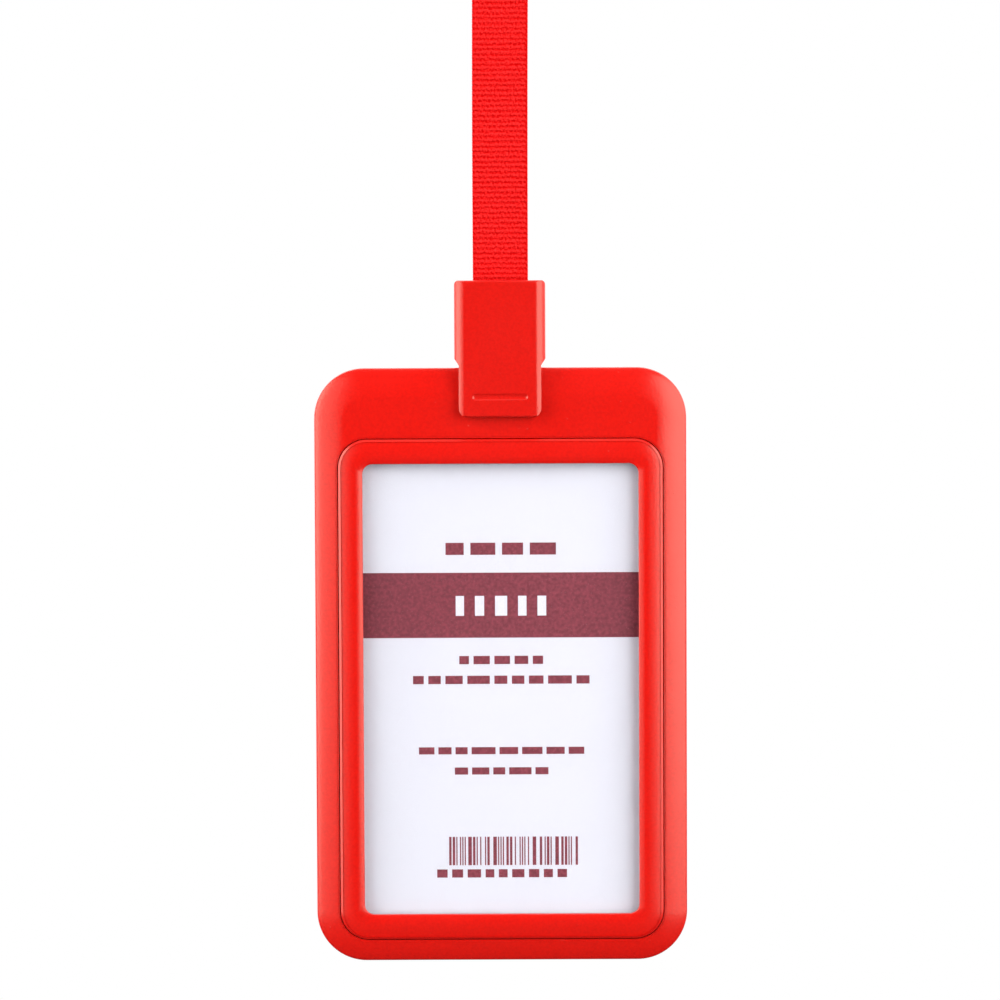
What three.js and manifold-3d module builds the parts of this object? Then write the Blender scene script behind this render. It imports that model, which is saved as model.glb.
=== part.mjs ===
// Lanyard badge holder: a strap loop, a hinged clip and a snap-together card holder.
// Millimetres, +Z up, the front faces -Y. The origin is the inner top of the strap's loop,
// where a hook or a neck carries the badge.
import * as THREE from 'three';
import { mergeVertices } from 'three/addons/utils/BufferGeometryUtils.js';
import Module from 'manifold-3d';

const wasm = await Module();
wasm.setup();

// Driving dimensions
const gap = 0.3; // between pieces that touch
const strapWidth = 10;
const strapThick = 0.8;
const loopRadius = 8.4; // of the strap's middle line, over the hook
const loopDrop = 68; // from the loop's inner top to the clip's top edge
const clipTop = -loopDrop;

const clip = {
  width: 16.4, tongueWidth: 14.8, faceWidth: 13.1, height: 24.55, shoulderTop: 14, shoulderEnd: 15.25,
};
const flap = { front: -4.5, back: -2.9, edge: 1, lip: 0.25, cornerRadius: 1, topCorner: 0.8 };
const grip = { width: 10, height: 1.1, deep: 0.25, drop: 20.9 }; // a groove on the flap's face
const shell = { back: 4.2, wall: 1.3, inside: 6.9, roof: 1.2, mouth: 1.9, mouthSide: 0.6, edge: 0.8 };
const hinge = { y: -1.7, z: clipTop - 1.6, pinRadius: 0.35, length: 16, clearance: 0.25, boss: 1.05 };
const lug = { inner: 5.4, outer: 6.5, radius: 1.05 };
const stud = { width: 8, height: 2.4, corner: 0.8, drop: 20.2, tip: 3.7 };
const crimp = { width: 12.2, deep: 3.8, side: 0.8, wall: 0.6, top: 5.2, bottom: 9.6 };
const slot = { width: 9.4, above: 0.4, below: 1.5, corner: 1, collar: 1.2 }; // the room round the stud

const holder = { width: 67.2, height: 107.6, corner: 9, front: -2.6, back: 2.6, part: 1.1 };
const slope = { across: 5.4, deep: 1.5, steps: 1 }; // the front leans back gently all round
const roll = { across: 1.2, deep: 1.9, steps: 4 }; // and its outer edge rolls over
const backEdge = 1.1;
const clipRecess = { side: 1.2, deep: 0.3 }; // lets the clip's back lie clear of the rear cover
const holderTop = clipTop - 15.65;
const holderMiddle = holderTop - holder.height / 2;
const frontWall = 1.5;
const sideWall = 1.4;
const rimWall = 1.5;

const bezel = {
  width: 58.8, height: 90.9, corner: 5.3, front: -3.0, ringBack: -1.6, skirtBack: 0.6, skirtWall: 1.2,
  slope: { across: 2.9, deep: 0.45, steps: 1 }, edge: { across: 0.45, deep: 0.85, steps: 3 },
};
const bezelMiddle = clipTop - 28.35 - bezel.height / 2;
const windowHole = { width: 49.8, height: 81.7, corner: 1.8, bevel: 1, bevelDeep: 0.6 };
const pane = { width: 56.2, height: 87.8, corner: 4, front: -1.3, back: -0.8 };
const card = { width: 54, height: 85, corner: 3, front: -0.5, back: 0 };
const seat = { width: 53, height: 84, corner: 2, rim: 4, front: 0.3 };
const thumbSlot = { width: 20, height: 12, drop: 24 }; // drop is from the middle of the bezel

// Reach of a cut that passes right through, and of one that takes all that is beyond a plane
const through = 6;
const beyond = 400;

// How far two solids run into each other before they are joined
const bite = 0.2;

const red = { color: 0xe8150c, roughness: 0.42, metalness: 0 };
const strapRed = { color: 0xd2120f, roughness: 0.85, metalness: 0 };
const steel = { color: 0xb9bcc0, roughness: 0.3, metalness: 1 };
const clear = { color: 0xf2f6f8, roughness: 0.08, metalness: 0, transparent: true, opacity: 0.35 };
const cardWhite = { color: 0xf1f0f8, roughness: 0.6, metalness: 0 };

// Solids and back
function solid(geometry) {
  const bare = geometry.clone();
  bare.deleteAttribute('normal');
  bare.deleteAttribute('uv');
  const merged = mergeVertices(bare, 1e-4);
  return new wasm.Manifold(new wasm.Mesh({
    numProp: 3,
    vertProperties: new Float32Array(merged.attributes.position.array),
    triVerts: new Uint32Array(merged.index.array),
  }));
}

function piece(name, shape, finish) {
  const mesh = shape.getMesh();
  const geometry = new THREE.BufferGeometry();
  geometry.setAttribute('position', new THREE.BufferAttribute(new Float32Array(mesh.vertProperties), 3));
  geometry.setIndex(new THREE.BufferAttribute(new Uint32Array(mesh.triVerts), 1));
  geometry.computeVertexNormals();
  const made = new THREE.Mesh(geometry, new THREE.MeshStandardMaterial(finish));
  made.name = name;
  return made;
}

function box(x0, x1, y0, y1, z0, z1) {
  const geometry = new THREE.BoxGeometry(x1 - x0, y1 - y0, z1 - z0);
  geometry.translate((x0 + x1) / 2, (y0 + y1) / 2, (z0 + z1) / 2);
  return solid(geometry);
}

// All the space between two depths, and between two heights if they are given
function slab(y0, y1, z0 = -beyond, z1 = beyond) {
  return box(-beyond, beyond, y0, y1, z0, z1);
}

// A round bar along X
function bar(radius, x0, x1, y, z, sides = 24) {
  const geometry = new THREE.CylinderGeometry(radius, radius, x1 - x0, sides);
  geometry.rotateZ(Math.PI / 2);
  geometry.translate((x0 + x1) / 2, y, z);
  return solid(geometry);
}

function roundedRect(width, height, corner) {
  const w = width / 2, h = height / 2;
  const outline = new THREE.Shape();
  outline.moveTo(w, -h + corner);
  outline.lineTo(w, h - corner);
  outline.absarc(w - corner, h - corner, corner, 0, Math.PI / 2);
  outline.lineTo(-w + corner, h);
  outline.absarc(-w + corner, h - corner, corner, Math.PI / 2, Math.PI);
  outline.lineTo(-w, -h + corner);
  outline.absarc(-w + corner, -h + corner, corner, Math.PI, 1.5 * Math.PI);
  outline.lineTo(w - corner, -h);
  outline.absarc(w - corner, -h + corner, corner, 1.5 * Math.PI, 2 * Math.PI);
  return outline;
}

// A rounded outline made wider and taller by twice the margin, or smaller by a negative one
function grown(form, margin) {
  return roundedRect(form.width + 2 * margin, form.height + 2 * margin, form.corner + margin);
}

// An outline drawn in X and Z, extruded from y0 to y1. The edge at one or both ends may be rounded.
function plate(outline, y0, y1, z, edge = { across: 0, deep: 0, steps: 1 }) {
  const bevelled = edge.across > 0;
  const geometry = new THREE.ExtrudeGeometry(outline, {
    depth: y1 - y0 - (bevelled ? 2 * edge.deep : 0),
    curveSegments: 10,
    bevelEnabled: bevelled,
    bevelSize: edge.across,
    bevelOffset: -edge.across,
    bevelThickness: edge.deep,
    bevelSegments: edge.steps,
  });
  geometry.rotateX(Math.PI / 2); // the outline's up becomes +Z, and the depth runs towards -Y
  geometry.translate(0, y1 - (bevelled ? edge.deep : 0), z);
  return solid(geometry);
}

// The whole card holder's outer form, before it is parted into shells
function holderForm() {
  const outline = roundedRect(holder.width, holder.height, holder.corner);
  const far = 2 * through;
  const sloped = plate(outline, holder.front, far, holderMiddle, slope);
  const rolled = plate(outline, holder.front, far, holderMiddle, roll);
  const easedEdge = { across: backEdge, deep: backEdge, steps: 3 };
  const eased = plate(outline, -far, holder.back, holderMiddle, easedEdge);
  return sloped.intersect(rolled).intersect(eased);
}

function slotCut(extra = 0, y0 = -through, y1 = through) {
  const top = clipTop - stud.drop + stud.height / 2 + slot.above + extra;
  const bottom = clipTop - stud.drop - stud.height / 2 - slot.below - extra;
  const outline = roundedRect(slot.width + 2 * extra, top - bottom, slot.corner + extra);
  return plate(outline, y0, y1, (top + bottom) / 2);
}

function holderFrontShell() {
  const back = holder.part - gap / 2;
  const inner = holder.front + frontWall;
  const outer = holderForm().intersect(slab(-through, back));
  const hollow = plate(grown(holder, -sideWall), inner, through, holderMiddle);
  const hole = plate(grown(bezel, gap), -through, through, bezelMiddle);
  const rim = plate(grown(bezel, rimWall), inner - bite, back, bezelMiddle).intersect(holderForm());
  const collar = slotCut(slot.collar, inner - bite, back);
  return outer.subtract(hollow).add(rim).add(collar).subtract(hole).subtract(slotCut());
}

function holderRearCover() {
  const front = holder.part + gap / 2;
  const plateBody = holderForm().intersect(slab(front, through));
  const seatOuter = plate(grown(seat, 0), seat.front, front + bite, bezelMiddle);
  const innerOutline = roundedRect(seat.width - 2 * seat.rim, seat.height - 2 * seat.rim, seat.corner / 2);
  const seatInner = plate(innerOutline, seat.front - 1, front, bezelMiddle);
  const thumb = plate(roundedRect(thumbSlot.width, thumbSlot.height, thumbSlot.height / 2 - 0.01),
    -through, through, bezelMiddle - thumbSlot.drop);
  const side = clip.tongueWidth / 2 + clipRecess.side;
  const recess = box(-side, side, holder.back - clipRecess.deep, through,
    clipTop - clip.height - clipRecess.side, 0);
  return plateBody.add(seatOuter.subtract(seatInner)).subtract(thumb).subtract(slotCut()).subtract(recess);
}

function bezelRing() {
  const outline = roundedRect(bezel.width, bezel.height, bezel.corner);
  const front = plate(outline, bezel.front, 2 * through, bezelMiddle, bezel.slope)
    .intersect(plate(outline, bezel.front, 2 * through, bezelMiddle, bezel.edge))
    .intersect(slab(-through, bezel.skirtBack));
  const hollow = plate(grown(bezel, -bezel.skirtWall), bezel.ringBack, through, bezelMiddle);
  const hole = plate(grown(windowHole, 0), -through, through, bezelMiddle);
  const flare = windowHole.bevel;
  const mouthBack = bezel.front + windowHole.bevelDeep;
  const mouth = plate(grown(windowHole, flare), bezel.front - 4, mouthBack, bezelMiddle,
    { across: flare, deep: windowHole.bevelDeep, steps: 1 });
  return front.subtract(hollow).subtract(hole).subtract(mouth);
}

// The clip's outline seen from the front: a sleeve, a shoulder on each side and a narrower tongue
function clipOutline() {
  const w = clip.width / 2, t = clip.tongueWidth / 2, r = flap.cornerRadius, c = flap.topCorner;
  const outline = new THREE.Shape();
  outline.moveTo(-w, -c);
  outline.lineTo(-w, -clip.shoulderTop);
  outline.lineTo(-t, -clip.shoulderEnd);
  outline.lineTo(-t, -clip.height + r);
  outline.absarc(-t + r, -clip.height + r, r, Math.PI, 1.5 * Math.PI);
  outline.lineTo(t - r, -clip.height);
  outline.absarc(t - r, -clip.height + r, r, 1.5 * Math.PI, 2 * Math.PI);
  outline.lineTo(t, -clip.shoulderEnd);
  outline.lineTo(w, -clip.shoulderTop);
  outline.lineTo(w, -c);
  outline.absarc(w - c, -c, c, 0, Math.PI / 2);
  outline.lineTo(-w + c, 0);
  outline.absarc(-w + c, -c, c, Math.PI / 2, Math.PI);
  return outline;
}

// The flap's section seen from above, run past both ends, which gives its sides their wide bevels
function flapBevels() {
  const z0 = clipTop - clip.height - 1, z1 = clipTop + 1;
  const w = clip.width / 2, f = clip.faceWidth / 2;
  const section = new THREE.Shape();
  section.moveTo(-w, -flap.back);
  section.lineTo(w, -flap.back);
  section.lineTo(w, -flap.back + flap.lip);
  section.lineTo(f, -flap.front);
  section.lineTo(-f, -flap.front);
  section.lineTo(-w, -flap.back + flap.lip);
  section.closePath();
  const geometry = new THREE.ExtrudeGeometry(section, { depth: z1 - z0, bevelEnabled: false });
  geometry.rotateX(Math.PI);
  geometry.translate(0, 0, z1);
  return solid(geometry);
}

// Both sides' copies of one solid made for each side
function bothSides(make) {
  return make(-1).add(make(1));
}

function span(side, inner, outer) {
  return side > 0 ? [inner, outer] : [-outer, -inner];
}

function clipFlap() {
  const edge = flap.edge; // the top front edge is rounded
  const eased = slab(-through, 0, -beyond, clipTop - edge)
    .add(slab(flap.front + edge, 0, clipTop - edge - 1, clipTop))
    .add(bar(edge, -clip.width, clip.width, flap.front + edge, clipTop - edge, 32));
  const face = plate(clipOutline(), flap.front, flap.back, clipTop).intersect(flapBevels()).intersect(eased);
  const lugs = bothSides((side) => {
    const [x0, x1] = span(side, lug.inner, lug.outer);
    return box(x0, x1, flap.back - bite, hinge.y, hinge.z - lug.radius, hinge.z + lug.radius)
      .add(bar(lug.radius, x0, x1, hinge.y, hinge.z));
  });
  const knob = plate(roundedRect(stud.width, stud.height, stud.corner),
    flap.back - 2 * bite, stud.tip, clipTop - stud.drop);
  const groove = plate(roundedRect(grip.width, grip.height, grip.height / 2 - 0.05),
    flap.front - 1, flap.front + grip.deep, clipTop - grip.drop);
  return face.add(lugs).add(knob).subtract(groove).subtract(hingeBore());
}

function hingeBore() {
  return bar(hinge.pinRadius + hinge.clearance, -clip.width, clip.width, hinge.y, hinge.z);
}

function clipRearShell() {
  const front = flap.back + gap;
  const rounded = roundedRect(clip.width, 2 * clip.height, shell.edge + 0.3);
  const outer = plate(clipOutline(), front, shell.back, clipTop)
    .intersect(plate(rounded, front - through, shell.back, clipTop,
      { across: shell.edge, deep: shell.edge, steps: 3 }));
  const inside = box(-shell.inside, shell.inside, -through, shell.back - shell.wall,
    clipTop - clip.shoulderTop - bite, clipTop - shell.roof);
  const mouthSide = strapWidth / 2 + shell.mouthSide;
  const mouth = box(-mouthSide, mouthSide, -through, shell.mouth, hinge.z - lug.radius - gap, beyond);
  const jaw = slab(-through, holder.back + gap, -beyond, holderTop + gap);
  const flapRoom = slab(-through, hinge.y + 2 * gap, hinge.z, beyond);
  const lugRoom = box(-shell.inside, shell.inside, -through, hinge.y + lug.radius + gap,
    hinge.z - lug.radius - gap, beyond);
  const bosses = bothSides((side) => {
    const [x0, x1] = span(side, shell.inside, clip.width / 2);
    return bar(hinge.boss, x0, x1, hinge.y, hinge.z);
  });
  return outer.subtract(inside).subtract(mouth).subtract(jaw).subtract(flapRoom).subtract(lugRoom)
    .add(bosses)
    .subtract(slotCut())
    .subtract(hingeBore());
}

// The strap's section, with its edges eased
const w = strapWidth / 2, h = strapThick / 2, ease = strapThick / 4;
const strapSection = new THREE.Shape([
  [-w, -h + ease], [-w + ease, -h], [w - ease, -h], [w, -h + ease],
  [w, h - ease], [w - ease, h], [-w + ease, h], [-w, h - ease],
].map(([x, y]) => new THREE.Vector2(x, y)));

// The hand-chosen route of the strap's middle line, front ply only, as [y, z] above the clip
const loopHalf = [
  [-0.7, 1.3], [-1.5, 6], [-2.6, 14], [-3.75, 23], [-4.8, 32],
  [-5.8, 41], [-6.8, 49.5], [-7.65, 55.5], [-8.25, 58.6],
];
// Degrees round the loop's middle
const loopArc = [-165, -150, -135, -120, -105, -90, -75, -60, -45, -30, -15];

function strapRoute() {
  const arc = loopArc.map((turn) => {
    const a = THREE.MathUtils.degToRad(turn);
    return [loopRadius * Math.cos(a), loopDrop - loopRadius + strapThick / 2 - loopRadius * Math.sin(a)];
  });
  const down = loopHalf.map(([y, z]) => [-y, z]).reverse();
  return [...loopHalf, ...arc, ...down].map(([y, z]) => new THREE.Vector3(0, y, clipTop + z));
}

function strapTube(points, steps) {
  return solid(new THREE.ExtrudeGeometry(strapSection, {
    steps, bevelEnabled: false, extrudePath: new THREE.CatmullRomCurve3(points, false, 'centripetal'),
  }));
}

// One end of the strap, inside the clip, from its mouth down through the crimp
function strapEnd(side) {
  const route = [[0.65, 0.7], [0.62, -1.5], [0.6, -4], [0.6, -8], [0.6, -10.5]];
  return strapTube(route.map(([y, z]) => new THREE.Vector3(0, side * y, clipTop + z)), 8);
}

// A steel band pressed round both ends of the strap
function strapCrimp() {
  const z0 = clipTop - crimp.bottom, z1 = clipTop - crimp.top;
  const x = crimp.width / 2, y = crimp.deep / 2;
  const hole = box(-x + crimp.side, x - crimp.side, -y + crimp.wall, y - crimp.wall, z0 - 1, z1 + 1);
  return box(-x, x, -y, y, z0, z1).subtract(hole);
}

function hingePin() {
  return bar(hinge.pinRadius, -hinge.length / 2, hinge.length / 2, hinge.y, hinge.z);
}

function flatCard(size) {
  return plate(grown(size, 0), size.front, size.back, bezelMiddle);
}

const badge = new THREE.Group();
badge.add(
  piece('lanyard_strap', strapTube(strapRoute(), 60), strapRed),
  piece('lanyard_strap_end_front', strapEnd(-1), strapRed),
  piece('lanyard_strap_end_rear', strapEnd(1), strapRed),
  piece('strap_crimp', strapCrimp(), steel),
  piece('clip_rear_shell', clipRearShell(), red),
  piece('clip_flap', clipFlap(), red),
  piece('clip_hinge_pin', hingePin(), steel),
  piece('holder_front_shell', holderFrontShell(), red),
  piece('holder_rear_cover', holderRearCover(), red),
  piece('bezel', bezelRing(), red),
  piece('window_pane', flatCard(pane), clear),
  piece('id_card', flatCard(card), cardWhite),
);
export default badge;
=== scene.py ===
import math
import random
import bpy
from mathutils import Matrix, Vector


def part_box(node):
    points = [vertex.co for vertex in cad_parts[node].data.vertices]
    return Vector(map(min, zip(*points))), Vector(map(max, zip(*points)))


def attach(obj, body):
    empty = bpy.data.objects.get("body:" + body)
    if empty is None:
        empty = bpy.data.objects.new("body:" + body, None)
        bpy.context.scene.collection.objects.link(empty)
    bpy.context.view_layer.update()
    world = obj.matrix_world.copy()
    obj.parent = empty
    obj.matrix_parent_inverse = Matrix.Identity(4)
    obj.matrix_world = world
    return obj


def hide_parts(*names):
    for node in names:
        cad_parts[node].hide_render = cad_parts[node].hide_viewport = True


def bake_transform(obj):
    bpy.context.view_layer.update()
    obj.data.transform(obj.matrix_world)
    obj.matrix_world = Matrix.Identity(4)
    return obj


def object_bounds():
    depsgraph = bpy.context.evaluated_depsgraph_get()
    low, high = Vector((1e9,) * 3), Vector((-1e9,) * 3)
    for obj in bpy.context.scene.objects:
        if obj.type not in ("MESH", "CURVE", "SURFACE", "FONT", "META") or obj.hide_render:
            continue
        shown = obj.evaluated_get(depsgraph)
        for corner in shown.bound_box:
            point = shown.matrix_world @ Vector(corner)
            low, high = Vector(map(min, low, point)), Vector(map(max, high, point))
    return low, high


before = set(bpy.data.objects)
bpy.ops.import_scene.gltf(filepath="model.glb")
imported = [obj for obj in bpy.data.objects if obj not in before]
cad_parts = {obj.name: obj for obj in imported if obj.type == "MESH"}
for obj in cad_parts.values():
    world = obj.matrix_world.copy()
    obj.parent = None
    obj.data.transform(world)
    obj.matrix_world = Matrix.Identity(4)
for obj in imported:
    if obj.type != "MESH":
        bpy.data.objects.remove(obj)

mm = 0.001
past = 1 * mm    # how far a cutter runs beyond what it cuts
bite = 0.2 * mm  # how far a piece sinks into the one it is fused with
cadLow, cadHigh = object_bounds()


# small helpers, each one a few strokes of ordinary modelling

def deselectAll():
    if bpy.context.object and bpy.context.object.mode != "OBJECT":
        bpy.ops.object.mode_set(mode="OBJECT")
    bpy.ops.object.select_all(action="DESELECT")


def pick(obj):
    deselectAll()
    obj.select_set(True)
    bpy.context.view_layer.objects.active = obj


def rename(obj, name):
    obj.name = name
    obj.data.name = name
    return obj


def addBlock(name, low, high):
    deselectAll()
    low, high = Vector(low), Vector(high)
    bpy.ops.mesh.primitive_cube_add(size=1, location=(low + high) / 2)
    obj = bpy.context.object
    obj.scale = high - low
    bpy.ops.object.transform_apply(location=True, rotation=True, scale=True)
    return rename(obj, name)


# a round bar along X
def addBar(name, radius, x0, x1, y, z, sides=48):
    deselectAll()
    bpy.ops.mesh.primitive_cylinder_add(vertices=sides, radius=radius, depth=x1 - x0,
                                        location=((x0 + x1) / 2, y, z), rotation=(0, math.pi / 2, 0))
    obj = bpy.context.object
    bpy.ops.object.transform_apply(location=True, rotation=True, scale=True)
    return rename(obj, name)


def near(a, b, slack=1e-6):
    return abs(a - b) < slack


# tests for edges: those that lie in the plane at y, and those that run along Y at the height z
def acrossY(y, slack=1e-6):
    return lambda c: near(c[0].y, y, slack) and near(c[1].y, y, slack)


def alongYAt(z):
    return lambda c: near(c[0].x, c[1].x) and near(c[0].z, c[1].z) and near(c[0].z, z)


# edit mode, with only the vertices, edges or faces that pass the test selected
def selectParts(obj, mode, test):
    pick(obj)
    bpy.ops.object.mode_set(mode="EDIT")
    bpy.ops.mesh.select_mode(type=mode)
    bpy.ops.mesh.select_all(action="DESELECT")
    bpy.ops.object.mode_set(mode="OBJECT")
    co = [v.co for v in obj.data.vertices]
    parts = {"VERT": obj.data.vertices, "EDGE": obj.data.edges, "FACE": obj.data.polygons}[mode]
    for p in parts:
        p.select = test(p.co) if mode == "VERT" else test([co[i] for i in p.vertices])
    bpy.ops.object.mode_set(mode="EDIT")


def bevelEdges(obj, test, width, segments, profile=0.5):
    selectParts(obj, "EDGE", test)
    bpy.ops.mesh.bevel(offset=width, offset_type="OFFSET", segments=segments, profile=profile,
                       affect="EDGES", clamp_overlap=False)
    bpy.ops.object.mode_set(mode="OBJECT")


def stretchY(obj, factor, anchor):
    pick(obj)
    bpy.ops.object.mode_set(mode="EDIT")
    bpy.ops.mesh.select_all(action="SELECT")
    bpy.ops.transform.resize(value=(1, factor, 1), center_override=(0, anchor, 0))
    bpy.ops.object.mode_set(mode="OBJECT")


# rounds the four corners seen from the front: the edges that run along Y
def roundUprights(obj, radius, segments=20):
    bevelEdges(obj, lambda c: near(c[0].x, c[1].x) and near(c[0].z, c[1].z), radius, segments)


# leans the rim of the plane at y back in a shallow arc, then rounds the arc's outer edge
def slopeEdge(obj, y, across, deep, outerRound, profile=0.37, segments=14):
    stretchY(obj, across / deep, y)
    bevelEdges(obj, acrossY(y), across, segments, profile)
    stretchY(obj, deep / across, y)
    if outerRound:
        bevelEdges(obj, acrossY(y + deep, 2e-6), outerRound, 6)


def roundedBlock(name, width, height, y0, y1, corner, z, segments=20):
    obj = addBlock(name, (-width / 2, y0, z - height / 2), (width / 2, y1, z + height / 2))
    roundUprights(obj, corner, segments)
    return obj


def combine(obj, other, operation):
    pick(obj)
    change = obj.modifiers.new("combine", "BOOLEAN")
    change.operation = operation
    change.solver = "EXACT"
    change.object = other
    bpy.ops.object.modifier_apply(modifier=change.name)
    bpy.data.objects.remove(other)
    return obj


def cutAway(obj, *cutters):
    for c in cutters:
        combine(obj, c, "DIFFERENCE")
    return obj


def fuse(obj, *others):
    for o in others:
        combine(obj, o, "UNION")
    return obj


# eases every crease that is left, and shades the rest smooth
def softenEdges(obj, width, segments=3, angle=32):
    pick(obj)
    bpy.ops.object.shade_smooth_by_angle(angle=math.radians(angle))
    ease = obj.modifiers.new("ease", "BEVEL")
    ease.width = width
    ease.segments = segments
    ease.limit_method = "ANGLE"
    ease.angle_limit = math.radians(angle)
    ease.use_clamp_overlap = True
    ease.harden_normals = True
    bpy.ops.object.modifier_apply(modifier=ease.name)
    even = obj.modifiers.new("even", "WEIGHTED_NORMAL")
    even.keep_sharp = True
    even.weight = 80
    bpy.ops.object.modifier_apply(modifier=even.name)
    return obj


def place(obj, body, slotName, material, *nodes):
    obj.data.materials.clear()
    obj.data.materials.append(material)
    if nodes:
        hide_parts(*nodes)
    if body:
        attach(obj, body)
    return obj


# camera, lights and floor

studio = {
    "viewWidth": 180.9955 * mm, "aimX": 0.03 * mm, "aimBelowClip": 39.6018 * mm,
    "lens": 120, "sensor": 36, "roll": 0.25, "elevation": 2.6,
    "white": 1.0, "roomFront": 0.03, "roomBack": 2.2, "wallsFrom": -0.4, "wallsTo": 0.3,
    # name, degrees round from the camera, width in metres, power
    "boxes": [("leftSide", -70, 0.55, 10.4), ("leftFill", -40, 0.45, 3.1), ("rightSide", 52, 0.8, 13.6)],
    "boxDistance": 0.8, "boxRise": 0.08, "boxTall": 1.15,
    "topPlace": (0, -0.33, 0.95), "topSize": (0.9, 0.5), "topPower": 1.0,
    "floorRadius": 6, "floorDrop": 0.12,
}

clipLow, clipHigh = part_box("clip_flap")
clipTop = clipHigh.z


def makeStudio():
    scene = bpy.context.scene
    scene.view_settings.view_transform = "Standard"
    scene.view_settings.look = "None"
    scene.view_settings.exposure = 0
    scene.view_settings.gamma = 1

    aim = Vector((studio["aimX"], 0, clipTop - studio["aimBelowClip"]))
    cameraData = bpy.data.cameras.new("camera")
    cameraData.lens = studio["lens"]
    cameraData.sensor_width = studio["sensor"]
    distance = studio["viewWidth"] * studio["lens"] / studio["sensor"]
    camera = bpy.data.objects.new("camera", cameraData)
    scene.collection.objects.link(camera)
    up = math.radians(studio["elevation"])
    camera.location = aim + Vector((0, -distance * math.cos(up), distance * math.sin(up)))
    camera.rotation_euler = (math.pi / 2 - up, math.radians(studio["roll"]), 0)
    cameraData.clip_end = 100
    scene.camera = camera

    # the camera sees plain white; the object is lit by a white room that is dark in front of it
    world = bpy.data.worlds.new("studio")
    scene.world = world
    world.use_nodes = True
    nodes, links = world.node_tree.nodes, world.node_tree.links
    nodes.clear()
    out = nodes.new("ShaderNodeOutputWorld")
    mix = nodes.new("ShaderNodeMixShader")
    seen = nodes.new("ShaderNodeBackground")
    seen.inputs["Color"].default_value = (1, 1, 1, 1)
    seen.inputs["Strength"].default_value = studio["white"]
    room = nodes.new("ShaderNodeBackground")
    room.inputs["Color"].default_value = (1, 1, 1, 1)
    path = nodes.new("ShaderNodeLightPath")
    coords = nodes.new("ShaderNodeTexCoord")
    split = nodes.new("ShaderNodeSeparateXYZ")
    walls = nodes.new("ShaderNodeMapRange")
    walls.interpolation_type = "SMOOTHSTEP"
    walls.inputs["From Min"].default_value = studio["wallsFrom"]
    walls.inputs["From Max"].default_value = studio["wallsTo"]
    walls.inputs["To Min"].default_value = studio["roomFront"]
    walls.inputs["To Max"].default_value = studio["roomBack"]
    links.new(coords.outputs["Generated"], split.inputs[0])
    links.new(split.outputs["Y"], walls.inputs["Value"])
    links.new(walls.outputs["Result"], room.inputs["Strength"])
    links.new(path.outputs["Is Camera Ray"], mix.inputs["Fac"])
    links.new(room.outputs[0], mix.inputs[1])
    links.new(seen.outputs[0], mix.inputs[2])
    links.new(mix.outputs[0], out.inputs["Surface"])

    def softbox(name, place, size, power, target):
        data = bpy.data.lights.new(name, "AREA")
        data.shape = "RECTANGLE"
        data.size, data.size_y = size
        data.energy = power
        lamp = bpy.data.objects.new(name, data)
        scene.collection.objects.link(lamp)
        lamp.location = place
        lamp.rotation_euler = (Vector(target) - Vector(place)).to_track_quat("-Z", "Y").to_euler()

    for name, turn, width, power in studio["boxes"]:
        side = math.radians(turn)
        far = studio["boxDistance"]
        where = aim + Vector((far * math.sin(side), -far * math.cos(side), studio["boxRise"]))
        softbox(name, where, (width, studio["boxTall"]), power, aim)
    softbox("topBox", aim + Vector(studio["topPlace"]), studio["topSize"], studio["topPower"], aim)

    deselectAll()
    bpy.ops.mesh.primitive_circle_add(vertices=96, radius=studio["floorRadius"], fill_type="NGON",
                                      location=(0, 0, cadLow.z - studio["floorDrop"]))
    floor = rename(bpy.context.object, "floor")
    bpy.ops.object.transform_apply(location=True, rotation=True, scale=True)
    paint = bpy.data.materials.new("paleFloor")
    paint.use_nodes = True
    nodes, links = paint.node_tree.nodes, paint.node_tree.links
    shader = nodes["Principled BSDF"]
    shader.inputs["Base Color"].default_value = (0.05, 0.05, 0.05, 1)
    shader.inputs["Roughness"].default_value = 0.9
    bright = nodes.new("ShaderNodeEmission")
    path = nodes.new("ShaderNodeLightPath")
    mix = nodes.new("ShaderNodeMixShader")
    links.new(path.outputs["Is Camera Ray"], mix.inputs["Fac"])
    links.new(shader.outputs[0], mix.inputs[1])
    links.new(bright.outputs[0], mix.inputs[2])
    links.new(mix.outputs[0], nodes["Material Output"].inputs["Surface"])
    floor.data.materials.append(paint)
    print("studio made")


makeStudio()


# shader groups: only values that change over a surface come out of them

def newGroup(name, inputs, outputs):
    group = bpy.data.node_groups.new(name, "ShaderNodeTree")
    for label, kind, value in inputs:
        s = group.interface.new_socket(name=label, in_out="INPUT", socket_type=kind)
        if value is not None:
            s.default_value = value
    for label, kind in outputs:
        group.interface.new_socket(name=label, in_out="OUTPUT", socket_type=kind)
    return group, group.nodes.new("NodeGroupInput"), group.nodes.new("NodeGroupOutput")


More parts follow.
